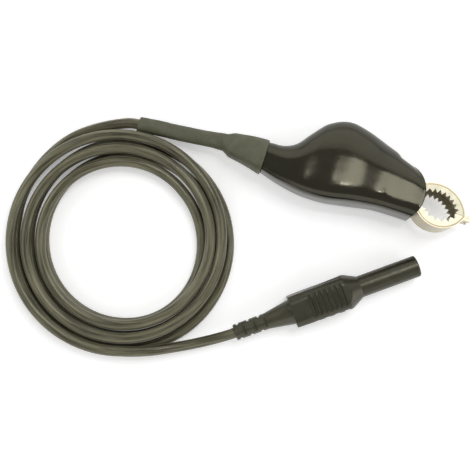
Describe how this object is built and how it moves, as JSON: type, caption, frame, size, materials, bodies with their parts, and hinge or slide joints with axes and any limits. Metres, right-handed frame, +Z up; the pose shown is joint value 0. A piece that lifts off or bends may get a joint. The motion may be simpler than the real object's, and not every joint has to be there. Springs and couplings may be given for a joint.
{
  "type": "test lead with battery clip and shrouded plug",
  "caption": "Test lead with a toothed spring clip in a moulded black boot, a heat-shrink sleeve, a coiled flexible cable and an in-line shrouded safety plug.",
  "frame": {"origin": "centre of the bounding box of the clip and its sleeve, on the surface that the boot lies on", "axes": "+X along the clip towards the jaws' tip, +Y towards the upper lever as it lies, +Z up"},
  "size_m": [0.1997, 0.1367, 0.0246],
  "materials": {
    "nickel": "bright nickel plate",
    "spring_steel": "drawn wire",
    "vinyl": "glossy dipped vinyl",
    "heat_shrink": "matte",
    "cable_jacket": "satin silicone",
    "plug_body": "satin, finely textured",
    "contact": "gold plated",
    "copper": "bare stranded copper"
  },
  "bodies": {
    "lead": {"lower_jaw": "nickel", "pivot_rivet": "nickel", "torsion_spring": "spring_steel", "insulating_boot": "vinyl", "heat_shrink_sleeve": "heat_shrink", "clip_conductor": "copper", "lead_clip_side": "cable_jacket", "cable_coil": "cable_jacket", "lead_plug_side": "cable_jacket", "strain_relief": "plug_body", "plug_grip": "plug_body", "plug_shroud": "plug_body", "contact_pin": "nickel", "contact_cage": "contact", "plug_conductor": "copper"},
    "upper_jaw": {"upper_jaw": "nickel"}
  },
  "joints": [
    {"name": "jaw_open", "type": "hinge", "parent": "lead", "child": "upper_jaw", "pos_m": [0.0347, -0.00791, 0.0127], "axis": [0, 0.1564, 0.9877], "range_deg": [0, 32], "stiffness_Nm_per_rad": 0.3, "springref_deg": -34.38, "deforming": ["torsion_spring", "insulating_boot"]}
  ]
}
